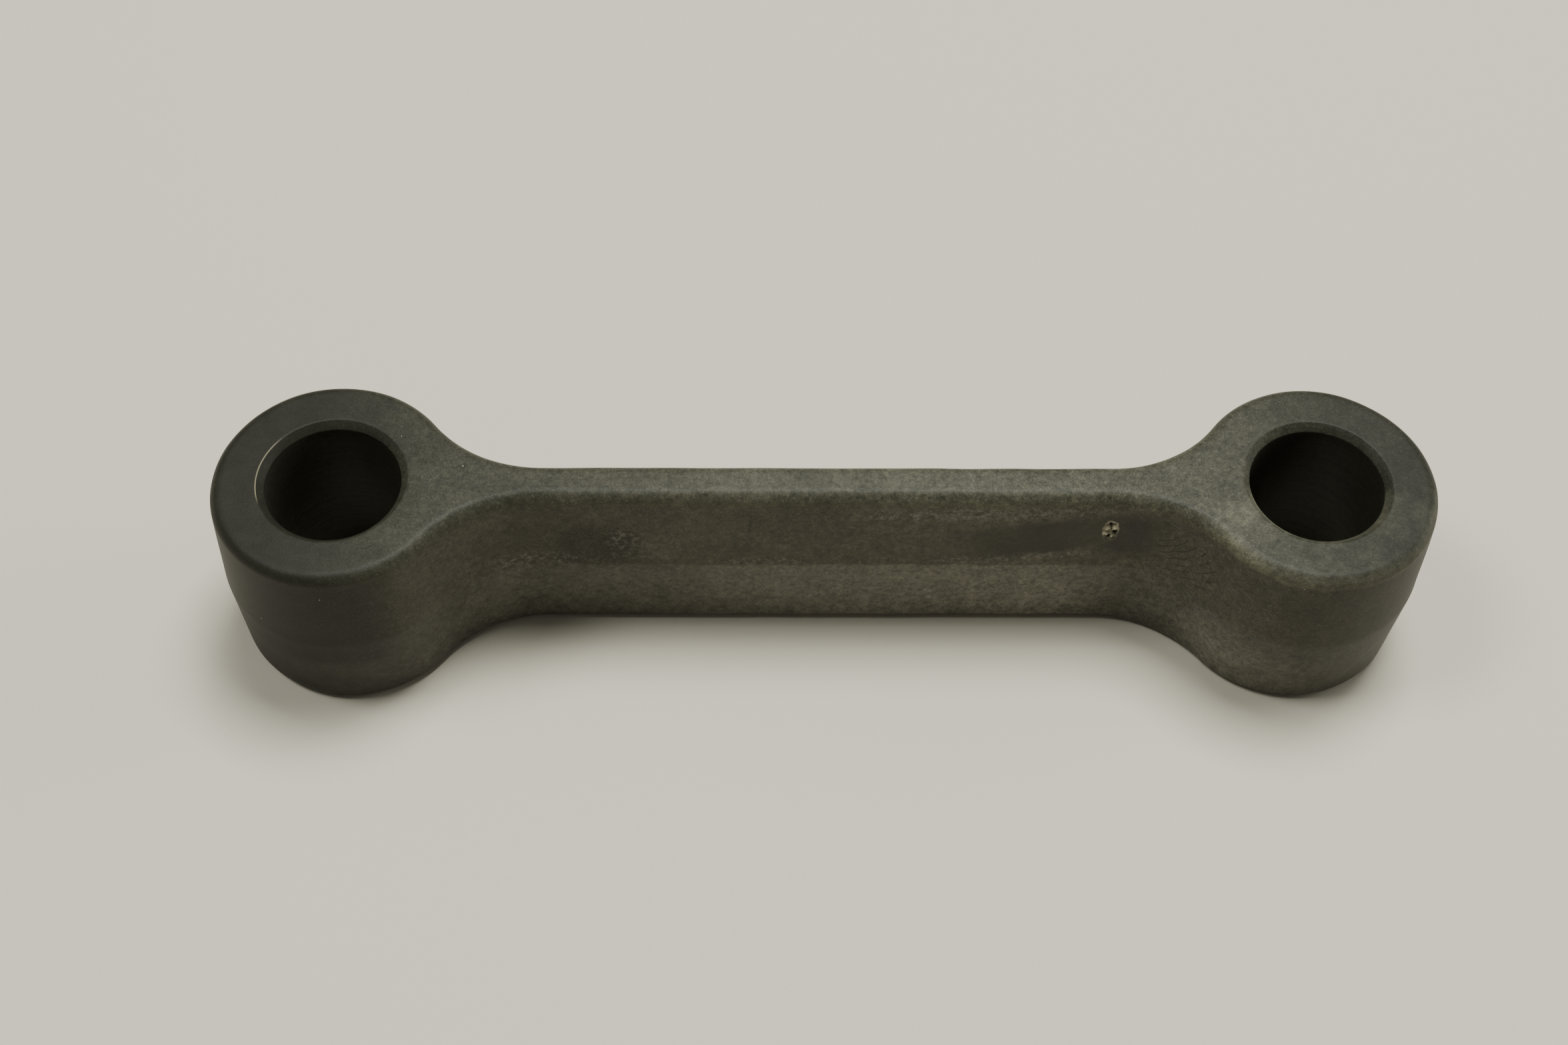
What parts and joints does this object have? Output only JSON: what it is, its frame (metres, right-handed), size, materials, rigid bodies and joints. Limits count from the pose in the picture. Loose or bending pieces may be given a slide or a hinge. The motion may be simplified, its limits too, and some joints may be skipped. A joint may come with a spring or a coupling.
{
  "type": "connecting rod",
  "caption": "Moulded connecting rod: equal round bosses with chamfered through bores at the ends of a narrow, deep web, linking the pins of neighbouring parts.",
  "frame": {"origin": "on the bottom face, midway between the two bore axes", "axes": "+X from one bore axis to the other, +Z along the bores, out of the top face; the part has the same shape turned end for end or upside down"},
  "size_m": [0.1164, 0.0238, 0.021],
  "materials": {
    "moulding": "dark olive-grey fibre-filled plastic, matt as moulded, finely speckled with pale fibres"
  },
  "bodies": {
    "root": {"rod_body": "moulding"}
  },
  "joints": []
}
